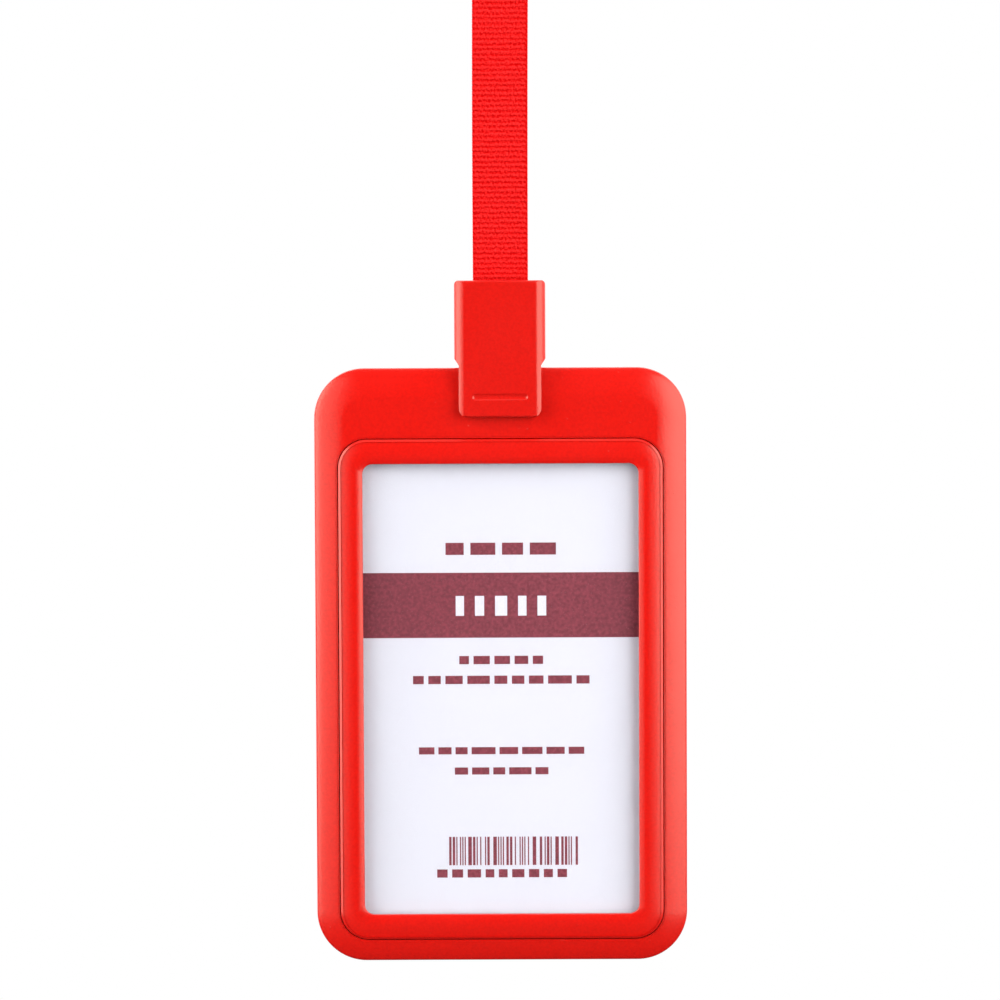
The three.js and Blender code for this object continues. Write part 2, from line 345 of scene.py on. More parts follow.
# fine moulded grain: a height, a roughness and a slight colour shift, from Object coordinates in millimetres
def makeGrainGroup():
    group, start, end = newGroup(
        "mouldedGrain",
        [("Grain Scale", "NodeSocketFloat", 5.0), ("Rough Low", "NodeSocketFloat", 0.4),
         ("Rough High", "NodeSocketFloat", 0.5), ("Colour", "NodeSocketColor", (0.8, 0.01, 0.01, 1)),
         ("Deep Colour", "NodeSocketColor", (0.7, 0.005, 0.005, 1))],
        [("Height", "NodeSocketFloat"), ("Roughness", "NodeSocketFloat"), ("Colour", "NodeSocketColor")])
    nodes, links = group.nodes, group.links
    coords = nodes.new("ShaderNodeTexCoord")
    scale = nodes.new("ShaderNodeVectorMath")
    scale.operation = "SCALE"
    scale.inputs["Scale"].default_value = 1000
    links.new(coords.outputs["Object"], scale.inputs[0])
    grain = nodes.new("ShaderNodeTexNoise")
    grain.inputs["Detail"].default_value = 1.5
    grain.inputs["Roughness"].default_value = 0.5
    links.new(scale.outputs[0], grain.inputs["Vector"])
    links.new(start.outputs["Grain Scale"], grain.inputs["Scale"])
    broad = nodes.new("ShaderNodeTexNoise")
    broad.inputs["Scale"].default_value = 0.09
    broad.inputs["Detail"].default_value = 4
    links.new(scale.outputs[0], broad.inputs["Vector"])
    flecks = nodes.new("ShaderNodeTexVoronoi")
    flecks.inputs["Scale"].default_value = 0.42
    links.new(scale.outputs[0], flecks.inputs["Vector"])
    fleckMask = nodes.new("ShaderNodeMapRange")
    fleckMask.inputs["From Min"].default_value = 0.03
    fleckMask.inputs["From Max"].default_value = 0.06
    fleckMask.inputs["To Min"].default_value = 1
    fleckMask.inputs["To Max"].default_value = 0
    links.new(flecks.outputs["Distance"], fleckMask.inputs["Value"])
    rough = nodes.new("ShaderNodeMapRange")
    rough.inputs["From Min"].default_value = 0.3
    rough.inputs["From Max"].default_value = 0.7
    links.new(broad.outputs["Fac"], rough.inputs["Value"])
    links.new(start.outputs["Rough Low"], rough.inputs["To Min"])
    links.new(start.outputs["Rough High"], rough.inputs["To Max"])
    shift = nodes.new("ShaderNodeMapRange")
    shift.inputs["From Min"].default_value = 0.35
    shift.inputs["From Max"].default_value = 0.75
    links.new(grain.outputs["Fac"], shift.inputs["Value"])
    mix = nodes.new("ShaderNodeMix")
    mix.data_type = "RGBA"
    links.new(shift.outputs["Result"], mix.inputs["Factor"])
    links.new(start.outputs["Colour"], mix.inputs["A"])
    links.new(start.outputs["Deep Colour"], mix.inputs["B"])
    raised = nodes.new("ShaderNodeMath")
    raised.operation = "MULTIPLY_ADD"
    raised.inputs[1].default_value = 1.6
    links.new(fleckMask.outputs["Result"], raised.inputs[0])
    links.new(grain.outputs["Fac"], raised.inputs[2])
    links.new(raised.outputs[0], end.inputs["Height"])
    links.new(rough.outputs["Result"], end.inputs["Roughness"])
    links.new(mix.outputs["Result"], end.inputs["Colour"])
    return group


grainGroup = makeGrainGroup()


def newMaterial(name):
    material = bpy.data.materials.new(name)
    material.use_nodes = True
    tree = material.node_tree
    return material, tree.nodes, tree.links, tree.nodes["Principled BSDF"]


def useGroup(nodes, group, **values):
    node = nodes.new("ShaderNodeGroup")
    node.node_tree = group
    for label, value in values.items():
        node.inputs[label.replace("_", " ")].default_value = value
    return node


def addBump(nodes, links, shader, height, distance, strength=1.0):
    bump = nodes.new("ShaderNodeBump")
    bump.inputs["Distance"].default_value = distance
    bump.inputs["Strength"].default_value = strength
    links.new(height, bump.inputs["Height"])
    links.new(bump.outputs["Normal"], shader.inputs["Normal"])
    return bump


plastic = {
    "body": (0.71, 0.0036, 0.0006, 1), "bodyDeep": (0.63, 0.0014, 0.0002, 1), "bodyGrain": 2.1,
    "clip": (0.67, 0.0040, 0.0014, 1), "clipDeep": (0.59, 0.0020, 0.0006, 1), "clipGrain": 2.3,
    "roughLow": 0.28, "roughHigh": 0.31, "grainDepth": 0.022 * mm, "ior": 1.55, "gloss": (1, 0.93, 0.76, 1),
}


def mouldedPlastic(name, colour, deepColour, grainScale):
    material, nodes, links, shader = newMaterial(name)
    grain = useGroup(nodes, grainGroup, Grain_Scale=grainScale, Rough_Low=plastic["roughLow"],
                     Rough_High=plastic["roughHigh"], Colour=colour, Deep_Colour=deepColour)
    links.new(grain.outputs["Colour"], shader.inputs["Base Color"])
    links.new(grain.outputs["Roughness"], shader.inputs["Roughness"])
    addBump(nodes, links, shader, grain.outputs["Height"], plastic["grainDepth"])
    shader.inputs["IOR"].default_value = plastic["ior"]
    shader.inputs["Specular Tint"].default_value = plastic["gloss"]
    return material


bodyRed = mouldedPlastic("shellRed", plastic["body"], plastic["bodyDeep"], plastic["bodyGrain"])
clipRed = mouldedPlastic("clipRed", plastic["clip"], plastic["clipDeep"], plastic["clipGrain"])


# lanyard strap: a flat woven band, from inside the clip up over its hook and back

strap = {
    "width": 9.85 * mm, "thick": 0.8 * mm, "ribPitch": 0.91 * mm, "ribHeight": 0.13 * mm,
    "ribVary": (0.8, 1.15), "ribMiddle": 0.45, "edgeFade": 0.55, "fadeBelow": 0.3 * mm,
    "waver": 0.15, "waverPitch": 1.3 * mm, "bulgeLeft": 0.09 * mm, "bulgeRight": 0.04 * mm,
    "shift": 0.17 * mm, "lean": 0.004, "bow": 0.1 * mm,
    "rowsPerRib": 5, "across": 40, "edgeRound": 4,
    "loopRadius": 8.4 * mm, "drop": 68 * mm,
    "inside": [(0.6, -10.5), (0.6, -8), (0.6, -4), (0.62, -1.5)],
    "half": [(0.7, 1.3), (1.5, 6), (2.6, 14), (3.75, 23), (4.8, 32), (5.8, 41), (6.8, 49.5), (7.65, 55.5),
             (8.25, 58.6)],
    "arc": (-165, -150, -135, -120, -105, -90, -75, -60, -45, -30, -15),
}


# the strap's middle line, the front ply first, as points in metres
def strapRoute():
    side = [(y * mm, clipTop + z * mm) for y, z in strap["inside"] + strap["half"]]
    middle = clipTop + strap["drop"] - strap["loopRadius"] + strap["thick"] / 2
    r = strap["loopRadius"]
    arc = [(r * math.cos(math.radians(a)), middle - r * math.sin(math.radians(a))) for a in strap["arc"]]
    up = [(-y, z) for y, z in side]
    return [Vector((0, y, z)) for y, z in up + arc + side[::-1]]


# the same route, evenly stepped along a smooth spline
def smoothLine(points, step):
    fine = []
    for i in range(len(points) - 1):
        p = [points[max(i - 1, 0)], points[i], points[i + 1], points[min(i + 2, len(points) - 1)]]
        for k in range(24):
            t = k / 24
            fine.append(0.5 * (2 * p[1] + (p[2] - p[0]) * t + (2 * p[0] - 5 * p[1] + 4 * p[2] - p[3]) * t * t
                               + (3 * p[1] - p[0] - 3 * p[2] + p[3]) * t ** 3))
    fine.append(points[-1])
    far = [0.0]
    for a, b in zip(fine, fine[1:]):
        far.append(far[-1] + (b - a).length)
    count = max(2, round(far[-1] / step))
    line, k = [], 0
    for i in range(count + 1):
        at = far[-1] * i / count
        while k < len(far) - 2 and far[k + 1] < at:
            k += 1
        share = (at - far[k]) / max(far[k + 1] - far[k], 1e-12)
        line.append(fine[k].lerp(fine[k + 1], min(max(share, 0), 1)))
    return line, far[-1]


# points round the band's section as (across, out of the face)
def strapSection():
    half, thick, n, r = strap["width"] / 2, strap["thick"] / 2, strap["across"], strap["edgeRound"]
    flat = half - thick
    front = [(-flat + 2 * flat * i / n, -thick) for i in range(n + 1)]
    right = [(flat + thick * math.sin(math.pi * k / (2 * r)), -thick * math.cos(math.pi * k / (2 * r)))
             for k in range(1, 2 * r)]
    back = [(-x, -y) for x, y in front]
    left = [(-x, -y) for x, y in right]
    return front + right + back + left


def makeStrap():
    line, length = smoothLine(strapRoute(), strap["ribPitch"] / strap["rowsPerRib"])
    section = strapSection()
    ring = len(section)
    flat = strap["width"] / 2 - strap["thick"] / 2
    draw = random.Random(7)
    ribs = {}
    vertices, faces, uvs = [], [], []
    for i, p in enumerate(line):
        ahead = (line[min(i + 1, len(line) - 1)] - line[max(i - 1, 0)]).normalized()
        out = Vector((0, -ahead.z, ahead.y))  # points to the front on the front ply, outwards over the loop
        run = i / strap["rowsPerRib"]
        rib = math.floor(run)
        ribs.setdefault(rib, (draw.uniform(*strap["ribVary"]), draw.uniform(0, 6.28)))
        lift, phase = ribs[rib]
        climb = max(0, p.z - clipTop)  # it hangs a little out of straight
        sway = (strap["shift"] + strap["lean"] * climb
                - strap["bow"] * math.sin(math.pi * climb / strap["drop"]))
        for x, y in section:
            edge = min(1, max(0, (abs(x) - flat) / (strap["thick"] / 2)))
            weave = strap["waver"] * math.sin(x / strap["waverPitch"] * 2 * math.pi + phase)
            crest = abs(math.sin(math.pi * (run + weave)))
            rise = strap["ribHeight"] * lift * (crest - strap["ribMiddle"]) * (1 - strap["edgeFade"] * edge)
            side = 1 if y < 0 else -1
            bulge = strap["bulgeRight" if x > 0 else "bulgeLeft"] * math.sin(2 * math.pi * run) * edge
            wide = x + sway + math.copysign(bulge, x)
            fade = 1 if abs(y) > strap["fadeBelow"] else abs(y) / (strap["thick"] / 2)
            high = -y + side * rise * fade
            vertices.append(p + Vector((wide, 0, 0)) + out * high)
    for i in range(len(line) - 1):
        for k in range(ring):
            a, b = i * ring + k, i * ring + (k + 1) % ring
            faces.append((a, b, b + ring, a + ring))
    faces.append(tuple(range(ring - 1, -1, -1)))
    faces.append(tuple((len(line) - 1) * ring + k for k in range(ring)))
    mesh = bpy.data.meshes.new("lanyardStrap")
    mesh.from_pydata(vertices, [], faces)
    layer = mesh.uv_layers.new(name="weave")
    around = [0.0]
    for k in range(ring):
        a, b = Vector(section[k]), Vector(section[(k + 1) % ring])
        around.append(around[-1] + (b - a).length)
    for poly in mesh.polygons:
        for corner, v in zip(poly.loop_indices, poly.vertices):
            i, k = divmod(v, ring)
            wrap = k == 0 and any(w % ring == ring - 1 for w in poly.vertices)
            u = around[ring] if wrap else around[k]
            layer.data[corner].uv = (u / mm, i * length / (len(line) - 1) / mm)
    mesh.validate()
    obj = bpy.data.objects.new("lanyardStrap", mesh)
    bpy.context.scene.collection.objects.link(obj)
    pick(obj)
    bpy.ops.object.shade_smooth()
    bpy.ops.object.mode_set(mode="EDIT")
    bpy.ops.mesh.select_all(action="SELECT")
    bpy.ops.mesh.normals_make_consistent(inside=False)
    bpy.ops.object.mode_set(mode="OBJECT")
    place(obj, None, "woven_strap", webbing(),
          "lanyard_strap", "lanyard_strap_end_front", "lanyard_strap_end_rear")
    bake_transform(obj)
    print("strap made,", round(length, 4), "m long")
    return obj


# deep and bright are the strap colours at low and high relief: deep is painted shade in the valleys between
# the ribs and in the edge stitches, bright is painted highlight on the rib crests
yarn = {
    "deep": (0.56, 0.0004, 0.0006, 1), "bright": (0.95, 0.026, 0.025, 1), "reliefShadeFrom": 1.6, "reliefShadeTo": 3.6,
    "roughDeep": 0.85, "roughBright": 0.62, "gloss": 0.02, "relief": 0.02 * mm, "reliefStrength": 0.9,
    "wobble": 0.9, "wobbleAcross": 0.7, "wobbleAlong": 0.5, "ribStart": 0.25, "ribHeight": 0.6,
    "slant": 0.55, "slantPitch": 0.83, "slantHeight": 0.22, "fuzz": 3.2, "fuzzHeight": 5.0,
    "stitchFrom": 0.5 * mm, "stitchTo": 0.1 * mm, "stitchLean": 900, "stitchDepth": -0.9,
}


# ribbed polyester: short slanting yarns cross each rib, and both edges are bound
def webbing():
    material, nodes, links, shader = newMaterial("wovenRed")
    uv = nodes.new("ShaderNodeUVMap")
    uv.uv_map = "weave"
    split = nodes.new("ShaderNodeSeparateXYZ")
    links.new(uv.outputs["UV"], split.inputs[0])

    def calc(operation, a, b=None, c=None):
        node = nodes.new("ShaderNodeMath")
        node.operation = operation
        for socket, value in zip(node.inputs, (a, b, c)):
            if value is None:
                continue
            if isinstance(value, (int, float)):
                socket.default_value = value
            else:
                links.new(value, socket)
        return node.outputs[0]

    def wave(source, pitch):
        return calc("SINE", calc("MULTIPLY", source, 2 * math.pi / pitch))

    wobble = nodes.new("ShaderNodeTexNoise")
    wobble.inputs["Scale"].default_value = yarn["wobble"]
    wobble.inputs["Detail"].default_value = 3
    links.new(uv.outputs["UV"], wobble.inputs["Vector"])
    x = calc("MULTIPLY_ADD", wobble.outputs["Fac"], yarn["wobbleAcross"], split.outputs["X"])
    pitch = strap["ribPitch"] / mm
    start = calc("SUBTRACT", split.outputs["Y"], yarn["ribStart"] + pitch / 4)
    y = calc("MULTIPLY_ADD", wobble.outputs["Fac"], yarn["wobbleAlong"], start)
    rib = wave(y, pitch)
    slant = wave(calc("MULTIPLY_ADD", y, yarn["slant"], x), yarn["slantPitch"])
    fuzz = nodes.new("ShaderNodeTexNoise")
    fuzz.inputs["Scale"].default_value = yarn["fuzz"]
    fuzz.inputs["Detail"].default_value = 2
    links.new(uv.outputs["UV"], fuzz.inputs["Vector"])
    yarns = calc("MULTIPLY_ADD", fuzz.outputs["Fac"], yarn["fuzzHeight"],
                 calc("MULTIPLY", slant, yarn["slantHeight"]))
    height = calc("MULTIPLY_ADD", rib, yarn["ribHeight"], yarns)
    coords = nodes.new("ShaderNodeTexCoord")
    across = nodes.new("ShaderNodeSeparateXYZ")
    links.new(coords.outputs["Object"], across.inputs[0])
    edge = nodes.new("ShaderNodeMapRange")  # stitches along both edges
    edge.inputs["From Min"].default_value = strap["width"] / 2 - yarn["stitchFrom"]
    edge.inputs["From Max"].default_value = strap["width"] / 2 - yarn["stitchTo"]
    fromMiddle = calc("ABSOLUTE", calc("SUBTRACT", across.outputs["X"], strap["shift"]))
    links.new(fromMiddle, edge.inputs["Value"])
    stitchRun = calc("MULTIPLY_ADD", across.outputs["X"], yarn["stitchLean"], y)
    stitch = calc("MULTIPLY_ADD", wave(stitchRun, pitch), yarn["stitchDepth"], yarn["stitchDepth"])
    height = calc("MULTIPLY_ADD", edge.outputs["Result"], stitch, height)
    # the colour follows the relief: painted shade where it is low (rib valleys, edge stitches) and painted
    # highlight where it is high (rib crests), on top of the yarn's own mottled tone from the fuzz noise
    tint = nodes.new("ShaderNodeMapRange")
    tint.inputs["From Min"].default_value = yarn["reliefShadeFrom"]
    tint.inputs["From Max"].default_value = yarn["reliefShadeTo"]
    links.new(height, tint.inputs["Value"])
    colour = nodes.new("ShaderNodeMix")
    colour.data_type = "RGBA"
    colour.inputs["A"].default_value = yarn["deep"]
    colour.inputs["B"].default_value = yarn["bright"]
    links.new(tint.outputs["Result"], colour.inputs["Factor"])
    links.new(colour.outputs["Result"], shader.inputs["Base Color"])
    rough = nodes.new("ShaderNodeMapRange")
    rough.inputs["To Min"].default_value = yarn["roughDeep"]
    rough.inputs["To Max"].default_value = yarn["roughBright"]
    links.new(tint.outputs["Result"], rough.inputs["Value"])
    links.new(rough.outputs["Result"], shader.inputs["Roughness"])
    addBump(nodes, links, shader, height, yarn["relief"], yarn["reliefStrength"])
    shader.inputs["Specular IOR Level"].default_value = yarn["gloss"]
    shader.inputs["Sheen Weight"].default_value = 0.005
    shader.inputs["Sheen Roughness"].default_value = 0.4
    shader.inputs["Sheen Tint"].default_value = (1, 0.3, 0.3, 1)
    return material


makeStrap()


# card holder: front shell, rear cover, bezel, window and card

shellLow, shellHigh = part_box("holder_front_shell")
coverLow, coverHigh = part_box("holder_rear_cover")
bezelLow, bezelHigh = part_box("bezel")
paneLow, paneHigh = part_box("window_pane")
cardLow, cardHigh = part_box("id_card")
holderMiddle = (shellLow.z + shellHigh.z) / 2
bezelMiddle = (bezelLow.z + bezelHigh.z) / 2

shell = {
    "corner": 9 * mm, "slopeAcross": 5.6 * mm, "slopeDeep": 1.6 * mm, "innerSlope": 0.7,
    "outerRound": 0.3 * mm, "wall": 1.4 * mm, "front": 1.5 * mm, "rim": 1.5 * mm, "rimShort": 0.01 * mm,
    "gap": 0.05 * mm, "seam": 0.03 * mm, "ledge": 0.33 * mm, "ledgeDepth": 0.12 * mm,
    "bezelCorner": 5.3 * mm, "ease": 0.12 * mm,
}
slotHole = {"width": 9.4 * mm, "top": 18.6 * mm, "bottom": 22.9 * mm, "corner": 1 * mm, "collar": 1.2 * mm}


def slotBlock(name, extra, y0, y1):
    top, bottom = clipTop - slotHole["top"] + extra, clipTop - slotHole["bottom"] - extra
    return roundedBlock(name, slotHole["width"] + 2 * extra, top - bottom, y0, y1, slotHole["corner"] + extra,
                        (top + bottom) / 2, 8)


def makeFrontShell():
    width, height = shellHigh.x - shellLow.x, shellHigh.z - shellLow.z
    front, back = shellLow.y, shellHigh.y
    bezelWidth, bezelHeight = bezelHigh.x - bezelLow.x, bezelHigh.z - bezelLow.z
    body = roundedBlock("frontShell", width, height, front, back, shell["corner"], holderMiddle, 28)
    slopeEdge(body, front, shell["slopeAcross"], shell["slopeDeep"], shell["outerRound"])
    pick(body)
    bpy.ops.object.duplicate()
    below = rename(bpy.context.object, "below")  # the same form a little further back
    bpy.ops.transform.translate(value=(0, shell["ledgeDepth"], 0))
    bpy.ops.object.transform_apply(location=True, rotation=False, scale=False)
    wall, skin = shell["wall"], front + shell["front"]
    hollow = roundedBlock("hollow", width - 2 * wall, height - 2 * wall, skin, back + past,
                          shell["corner"] - wall, holderMiddle)
    # the hollow follows the sloped rim inside, so the skin keeps its thickness
    slopeEdge(hollow, skin, shell["slopeAcross"] - wall, shell["slopeDeep"] * shell["innerSlope"], 0, 0.3, 4)
    cutAway(body, hollow)
    rimBack = back - shell["rimShort"]
    rim = roundedBlock("rim", bezelWidth + 2 * shell["rim"], bezelHeight + 2 * shell["rim"], skin - bite,
                       rimBack, shell["bezelCorner"] + shell["rim"], bezelMiddle)
    fuse(body, rim, slotBlock("collar", slotHole["collar"], skin - bite, rimBack))
    seam = shell["seam"]
    hole = roundedBlock("hole", bezelWidth + 2 * seam, bezelHeight + 2 * seam, front - past,
                        back + past, shell["bezelCorner"] + seam, bezelMiddle, 24)
    ledge = shell["ledge"]  # a shallow step round the opening, of one depth all round
    step = roundedBlock("step", bezelWidth + 2 * ledge, bezelHeight + 2 * ledge, front - past,
                        back - past, shell["bezelCorner"] + ledge, bezelMiddle, 24)
    cutAway(step, below)
    cutAway(body, hole, step, slotBlock("slotCut", 0, front - past, back + past))
    softenEdges(body, shell["ease"])
    return place(body, "holder", "red_plastic", bodyRed, "holder_front_shell")


cover = {"edge": 1.1 * mm, "ease": 0.12 * mm, "seatWidth": 53 * mm, "seatHeight": 84 * mm, "seatRim": 4 * mm,
         "seatCorner": 2 * mm, "seatInnerCorner": 1 * mm, "seatRoot": 0.4 * mm,
         "thumbWidth": 20 * mm, "thumbHeight": 12 * mm, "thumbDrop": 24 * mm, "thumbEase": 0.7 * mm,
         "thumbFlat": 0.05 * mm,
         "recessHalf": 8.6 * mm, "recessDeep": 0.3 * mm, "recessBottom": 25.75 * mm}


def makeRearCover():
    width, height = coverHigh.x - coverLow.x, coverHigh.z - coverLow.z
    partLine = shellHigh.y + shell["gap"]
    body = roundedBlock("rearCover", width, height, partLine, coverHigh.y, shell["corner"], holderMiddle, 28)
    bevelEdges(body, acrossY(coverHigh.y), cover["edge"], 8)
    seat = roundedBlock("seat", cover["seatWidth"], cover["seatHeight"], coverLow.y,
                        partLine + cover["seatRoot"], cover["seatCorner"], bezelMiddle, 8)
    rim = 2 * cover["seatRim"]
    inner = roundedBlock("inner", cover["seatWidth"] - rim, cover["seatHeight"] - rim, coverLow.y - past,
                         partLine, cover["seatInnerCorner"], bezelMiddle, 8)
    cutAway(seat, inner)
    fuse(body, seat)
    thumbZ = bezelMiddle - cover["thumbDrop"]
    thumb = roundedBlock("thumb", cover["thumbWidth"], cover["thumbHeight"], partLine - 2 * past,
                         coverHigh.y + past, cover["thumbHeight"] / 2 - cover["thumbFlat"], thumbZ, 20)
    half = cover["recessHalf"]
    recess = addBlock("recess", (-half, coverHigh.y - cover["recessDeep"], clipTop - cover["recessBottom"]),
                      (half, coverHigh.y + 5 * past, coverHigh.z + 5 * past))
    cutAway(body, thumb, slotBlock("slotCut", 0, partLine - past, coverHigh.y + past), recess)

    def thumbRim(c):
        middle = (c[0] + c[1]) / 2
        return (near(c[0].y, coverHigh.y) and near(c[1].y, coverHigh.y)
                and abs(middle.x) < cover["thumbWidth"] * 0.55
                and abs(middle.z - thumbZ) < cover["thumbHeight"] * 0.55)

    bevelEdges(body, thumbRim, cover["thumbEase"], 5)
    softenEdges(body, cover["ease"])
    return place(body, "holder", "red_plastic", bodyRed, "holder_rear_cover")


bezelShape = {"across": 2.9 * mm, "deep": 0.58 * mm, "rimRound": 0.8 * mm, "skirtWall": 1.2 * mm,
              "ring": 1.4 * mm, "windowWidth": 49.8 * mm, "windowHeight": 81.7 * mm, "windowCorner": 1.8 * mm,
              "flare": 1 * mm, "flareDeep": 0.42 * mm, "ease": 0.16 * mm}


# a rounded block whose front is wider than its back, so that it cuts a sloping mouth
def flaredCutter(name, width, height, corner, yBack, yFront, flare, flareDeep, z):
    body = roundedBlock(name, width, height, yFront, yBack, corner, z, 12)
    grow = flare * (yBack - yFront) / flareDeep
    selectParts(body, "VERT", lambda p: near(p.y, yFront))
    bpy.ops.transform.resize(value=((width + 2 * grow) / width, 1, (height + 2 * grow) / height),
                             center_override=(0, yFront, z))
    bpy.ops.object.mode_set(mode="OBJECT")
    return body


def makeBezel():
    s = bezelShape
    width, height = bezelHigh.x - bezelLow.x, bezelHigh.z - bezelLow.z
    front = bezelLow.y
    body = roundedBlock("bezelRing", width, height, front, bezelHigh.y, shell["bezelCorner"], bezelMiddle, 24)
    slopeEdge(body, front, s["across"], s["deep"], s["rimRound"])
    skirt = s["skirtWall"]
    hollow = roundedBlock("hollow", width - 2 * skirt, height - 2 * skirt, front + s["ring"],
                          bezelHigh.y + past, shell["bezelCorner"] - skirt, bezelMiddle)
    window = roundedBlock("window", s["windowWidth"], s["windowHeight"], front - past, bezelHigh.y + past,
                          s["windowCorner"], bezelMiddle, 12)
    mouth = flaredCutter("mouth", s["windowWidth"], s["windowHeight"], s["windowCorner"],
                         front + s["flareDeep"], front - past, s["flare"], s["flareDeep"], bezelMiddle)
    cutAway(body, hollow, window, mouth)
    softenEdges(body, s["ease"], 4, 28)
    return place(body, "bezel", "red_plastic", bodyRed, "bezel")


pane = {"corner": 4 * mm, "ease": 0.06 * mm, "tint": (0.985, 0.99, 1, 1), "rough": 0.03, "ior": 1.45,
        "throughTint": (0.955, 0.96, 0.97, 1), "throughShare": 0.92}


# clear rigid sheet. Lamps pass it without a dark shadow
def clearSheet():
    material, nodes, links, shader = newMaterial("clearSheet")
    shader.inputs["Base Color"].default_value = pane["tint"]
    shader.inputs["Roughness"].default_value = pane["rough"]
    shader.inputs["IOR"].default_value = pane["ior"]
    shader.inputs["Transmission Weight"].default_value = 1.0
    through = nodes.new("ShaderNodeBsdfTransparent")
    path = nodes.new("ShaderNodeLightPath")
    mix = nodes.new("ShaderNodeMixShader")
    links.new(path.outputs["Is Shadow Ray"], mix.inputs["Fac"])
    links.new(shader.outputs[0], mix.inputs[1])
    links.new(through.outputs[0], mix.inputs[2])
    clear = nodes.new("ShaderNodeBsdfTransparent")  # what is behind it shows straight through
    clear.inputs["Color"].default_value = pane["throughTint"]
    share = nodes.new("ShaderNodeMath")
    share.operation = "MULTIPLY"
    share.inputs[1].default_value = pane["throughShare"]
    top = nodes.new("ShaderNodeMixShader")
    links.new(path.outputs["Is Camera Ray"], share.inputs[0])
    links.new(share.outputs[0], top.inputs["Fac"])
    links.new(mix.outputs[0], top.inputs[1])
    links.new(clear.outputs[0], top.inputs[2])
    links.new(top.outputs[0], nodes["Material Output"].inputs["Surface"])
    return material


def makePane():
    body = roundedBlock("windowSheet", paneHigh.x - paneLow.x, paneHigh.z - paneLow.z, paneLow.y, paneHigh.y,
                        pane["corner"], (paneLow.z + paneHigh.z) / 2, 10)
    softenEdges(body, pane["ease"], 2)
    return place(body, "bezel", "clear_plastic", clearSheet(), "window_pane")


paper = {"corner": 3 * mm, "ease": 0.05 * mm, "low": (0.78, 0.77, 0.83, 1), "high": (0.81, 0.80, 0.86, 1)}


def cardStock():
    material, nodes, links, shader = newMaterial("cardStock")
    coords = nodes.new("ShaderNodeTexCoord")
    fibre = nodes.new("ShaderNodeTexNoise")
    fibre.inputs["Scale"].default_value = 2600
    fibre.inputs["Detail"].default_value = 4
    links.new(coords.outputs["Object"], fibre.inputs["Vector"])
    tone = nodes.new("ShaderNodeMapRange")
    tone.inputs["From Min"].default_value = 0.3
    tone.inputs["From Max"].default_value = 0.7
    links.new(fibre.outputs["Fac"], tone.inputs["Value"])
    colour = nodes.new("ShaderNodeMix")
    colour.data_type = "RGBA"
    colour.inputs["A"].default_value = paper["low"]
    colour.inputs["B"].default_value = paper["high"]
    links.new(tone.outputs["Result"], colour.inputs["Factor"])
    links.new(colour.outputs["Result"], shader.inputs["Base Color"])
    rough = nodes.new("ShaderNodeMapRange")
    rough.inputs["To Min"].default_value = 0.62
    rough.inputs["To Max"].default_value = 0.5
    links.new(tone.outputs["Result"], rough.inputs["Value"])
    links.new(rough.outputs["Result"], shader.inputs["Roughness"])
    addBump(nodes, links, shader, fibre.outputs["Fac"], 0.004 * mm)
    return material


# printed ink with the fine mottling of toner
def ink(name, colour, grain):
    material, nodes, links, shader = newMaterial(name)
    coords = nodes.new("ShaderNodeTexCoord")
    mottle = nodes.new("ShaderNodeTexNoise")
    mottle.inputs["Scale"].default_value = 1700
    mottle.inputs["Detail"].default_value = 2
    links.new(coords.outputs["Object"], mottle.inputs["Vector"])
    tone = nodes.new("ShaderNodeMapRange")
    tone.inputs["From Min"].default_value = 0.35
    tone.inputs["From Max"].default_value = 0.7
    links.new(mottle.outputs["Fac"], tone.inputs["Value"])
    mix = nodes.new("ShaderNodeMix")
    mix.data_type = "RGBA"
    mix.inputs["A"].default_value = colour
    mix.inputs["B"].default_value = tuple(min(1, c * grain) for c in colour[:3]) + (1,)
    links.new(tone.outputs["Result"], mix.inputs["Factor"])
    links.new(mix.outputs["Result"], shader.inputs["Base Color"])
    shader.inputs["Roughness"].default_value = 0.5
    return material


def makeCard():
    body = roundedBlock("insertCard", cardHigh.x - cardLow.x, cardHigh.z - cardLow.z, cardLow.y, cardHigh.y,
                        paper["corner"], (cardLow.z + cardHigh.z) / 2, 10)
    softenEdges(body, paper["ease"], 2)
    return place(body, "card", "printed_card", cardStock(), "id_card")


# what is printed on the card is a neutral layout: a band, rows of plain dashes and a block of upright strokes
printing = {
    "dark": (0.185, 0.028, 0.042, 1), "darkGrain": 1.6, "pale": (0.86, 0.85, 0.93, 1), "paleGrain": 0.96,
    "lift": 0.012 * mm, "sink": 0.02 * mm, "dashGap": 0.55, "bandMargin": 0.6 * mm,
    "bandTop": 52.73, "bandBottom": 64.55,  # distances below the clip's top edge, in mm
    # each row: its distance down, width and height in mm, number of dashes, seed and ink
    "rows": [(48.4, 20.0, 2.2, 4, 3, "dark"), (58.75, 16.4, 3.6, 5, 11, "pale"),
             (68.6, 15.2, 1.5, 5, 21, "dark"), (72.2, 32.0, 1.5, 9, 31, "dark"),
             (85.1, 30.0, 1.3, 8, 41, "dark"), (88.8, 17.0, 1.3, 5, 51, "dark"),
             (107.5, 23.6, 1.5, 9, 61, "dark")],
    "strokes": (100.8, 106.0, 23.4, 34, 71), "strokesMiddle": 2.1,  # top, bottom, width, number and seed
}


def addFlat(parts, x0, x1, z0, z1, extra=0):
    y = cardLow.y - extra
    parts.append(addBlock("mark", (x0, y - printing["lift"], z0), (x1, y + printing["sink"], z1)))


# a row of plain dashes that stands for a line of words
def dashes(parts, drop, width, tall, count, seed, extra=0):
    draw = random.Random(seed)
    gap = tall * printing["dashGap"] * mm
    shares = [draw.uniform(0.6, 1.6) for _ in range(count)]
    room = width * mm - gap * (count - 1)
    x = -width / 2 * mm
    for share in shares:
        long = room * share / sum(shares)
        addFlat(parts, x, x + long, clipTop - (drop + tall / 2) * mm, clipTop - (drop - tall / 2) * mm,
                extra)
        x += long + gap


